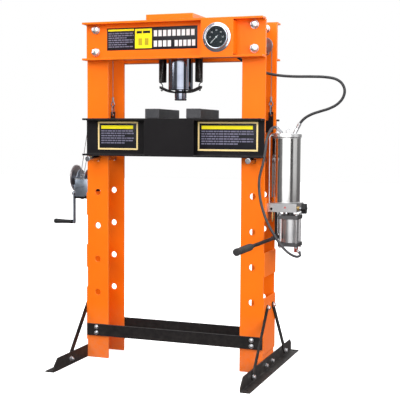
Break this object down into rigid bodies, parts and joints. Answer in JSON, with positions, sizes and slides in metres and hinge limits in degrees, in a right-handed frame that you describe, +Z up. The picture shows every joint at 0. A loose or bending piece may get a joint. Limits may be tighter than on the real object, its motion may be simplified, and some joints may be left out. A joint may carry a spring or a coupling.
{
  "type": "hydraulic shop press",
  "caption": "Tall H-frame workshop press with a pinned lifting bed, central hydraulic ram, pressure gauge, hand winch and air-over-oil pump on its side.",
  "frame": {"origin": "on the floor, under the centre of the press's bounding box measured without its two hoses", "axes": "+Z up along the columns, -Y towards the front where the gauge faces and the pump lever points, +X towards the pump side"},
  "size_m": [1.659, 1.173, 1.8517],
  "materials": {
    "frame_paint": "gloss orange paint",
    "black_paint": "semi-gloss black paint",
    "cylinder_metal": "dark polished chrome",
    "ram_steel": "ground steel",
    "spring_steel": "oiled black spring steel",
    "press_plate_steel": "blackened steel",
    "zinc": "bright zinc plate",
    "rope_steel": "bare steel wire",
    "bright_metal": "polished steel",
    "aluminium": "machined aluminium",
    "black_plastic": "moulded black",
    "hose_rubber": "smooth dark rubber",
    "dial": "matt black dial",
    "needle": "white needle"
  },
  "bodies": {
    "frame": {"left_column": "frame_paint", "right_column": "frame_paint", "beam_front_channel": "frame_paint", "beam_rear_channel": "frame_paint", "beam_top_plate": "frame_paint", "cylinder_guide_plate": "frame_paint", "front_cross_plate": "black_paint", "rear_cross_plate": "black_paint", "left_foot": "black_paint", "right_foot": "black_paint", "left_front_strut": "black_paint", "left_rear_strut": "black_paint", "right_front_strut": "black_paint", "right_rear_strut": "black_paint", "gauge_panel": "frame_paint", "gauge_case": "bright_metal", "gauge_dial": "dial", "gauge_line": "ram_steel", "cylinder": "cylinder_metal", "cylinder_gland": "ram_steel", "winch_bracket": "black_paint", "winch_frame": "zinc", "winch_drum_shaft": "ram_steel", "left_rope": "rope_steel", "right_rope": "rope_steel", "left_rope_drop": "rope_steel", "right_rope_drop": "rope_steel", "left_return_spring": "spring_steel", "right_return_spring": "spring_steel", "pump_block": "aluminium", "lever_bracket": "black_paint", "oil_tank": "bright_metal", "tank_cap": "bright_metal", "air_motor": "aluminium", "hydraulic_hose": "hose_rubber", "air_hose": "hose_rubber"},
    "ram": {"ram_rod": "ram_steel", "ram_nose": "ram_steel", "spring_bracket": "black_paint"},
    "bed": {"bed_front_channel": "black_paint", "bed_rear_channel": "black_paint", "bed_left_tie_plate": "black_paint", "bed_right_tie_plate": "black_paint", "left_hook": "zinc", "right_hook": "zinc"},
    "left_plate": {"left_press_plate": "press_plate_steel"},
    "right_plate": {"right_press_plate": "press_plate_steel"},
    "left_pin": {"left_support_pin": "ram_steel"},
    "right_pin": {"right_support_pin": "ram_steel"},
    "drum": {"winch_drum": "zinc"},
    "crank": {"winch_pinion": "ram_steel", "winch_crank_arm": "zinc"},
    "grip": {"crank_grip": "black_plastic"},
    "left_sheaves": {"left_pulley": "zinc"},
    "right_sheave": {"right_pulley": "zinc"},
    "lever": {"pump_lever": "black_paint", "lever_grip": "black_plastic"},
    "plunger": {"pump_plunger": "ram_steel"},
    "knob": {"release_knob": "black_plastic"},
    "needle": {"gauge_needle": "needle"}
  },
  "joints": [
    {"name": "ram_slide", "type": "slide", "parent": "frame", "child": "ram", "axis": [0, 0, -1], "range_m": [0, 0.085], "stiffness_N_per_m": 1500, "springref_m": -0.1, "deforming": ["left_return_spring", "right_return_spring"]},
    {"name": "bed_lift", "type": "slide", "parent": "frame", "child": "bed", "axis": [0, 0, 1], "range_m": [0, 0.085], "deforming": ["left_rope_drop", "right_rope_drop"]},
    {"name": "left_plate_slide", "type": "slide", "parent": "bed", "child": "left_plate", "axis": [-1, 0, 0], "range_m": [0, 0.15]},
    {"name": "right_plate_slide", "type": "slide", "parent": "bed", "child": "right_plate", "axis": [1, 0, 0], "range_m": [0, 0.15]},
    {"name": "left_pin_pull", "type": "slide", "parent": "frame", "child": "left_pin", "axis": [0, -1, 0], "range_m": [0, 0.28]},
    {"name": "right_pin_pull", "type": "slide", "parent": "frame", "child": "right_pin", "axis": [0, -1, 0], "range_m": [0, 0.31]},
    {"name": "drum_turn", "type": "hinge", "parent": "frame", "child": "drum", "pos_m": [-0.5215, 0.1255, 0.983], "axis": [1, 0, 0], "range_deg": [0, 225]},
    {"name": "crank_turn", "type": "hinge", "parent": "frame", "child": "crank", "pos_m": [-0.6105, 0.1255, 0.898], "axis": [1, 0, 0], "range_deg": [-1290, 0]},
    {"name": "grip_spin", "type": "hinge", "parent": "crank", "child": "grip", "pos_m": [-0.7375, 0.1255, 0.736], "axis": [1, 0, 0], "continuous": true},
    {"name": "left_sheave_turn", "type": "hinge", "parent": "frame", "child": "left_sheaves", "pos_m": [-0.4105, 0.1255, 1.7], "axis": [0, 1, 0], "range_deg": [-125, 0]},
    {"name": "right_sheave_turn", "type": "hinge", "parent": "frame", "child": "right_sheave", "pos_m": [0.4695, 0.2055, 1.7], "axis": [0, 1, 0], "range_deg": [-125, 0]},
    {"name": "lever_stroke", "type": "hinge", "parent": "frame", "child": "lever", "pos_m": [0.5805, 0.0725, 0.705], "axis": [1, 0, 0], "range_deg": [0, 40]},
    {"name": "plunger_slide", "type": "slide", "parent": "frame", "child": "plunger", "axis": [0, 0, 1], "range_m": [0, 0.0195]},
    {"name": "knob_turn", "type": "hinge", "parent": "frame", "child": "knob", "pos_m": [0.6935, 0.0805, 0.858], "axis": [1, 0, 0], "range_deg": [0, 270]},
    {"name": "needle_swing", "type": "hinge", "parent": "frame", "child": "needle", "pos_m": [0.2925, -0.0561, 1.7234], "axis": [0, 1, 0], "range_deg": [0, 270], "stiffness_Nm_per_rad": 0.0006, "springref_deg": -28.65}
  ],
  "couplings": [
    {"joint": "drum_turn", "follows": "bed_lift", "rad_per_m": 45.455},
    {"joint": "crank_turn", "follows": "bed_lift", "rad_per_m": -263.64},
    {"joint": "left_sheave_turn", "follows": "bed_lift", "rad_per_m": -25},
    {"joint": "right_sheave_turn", "follows": "bed_lift", "rad_per_m": -25},
    {"joint": "plunger_slide", "follows": "lever_stroke", "m_per_rad": 0.0276}
  ]
}
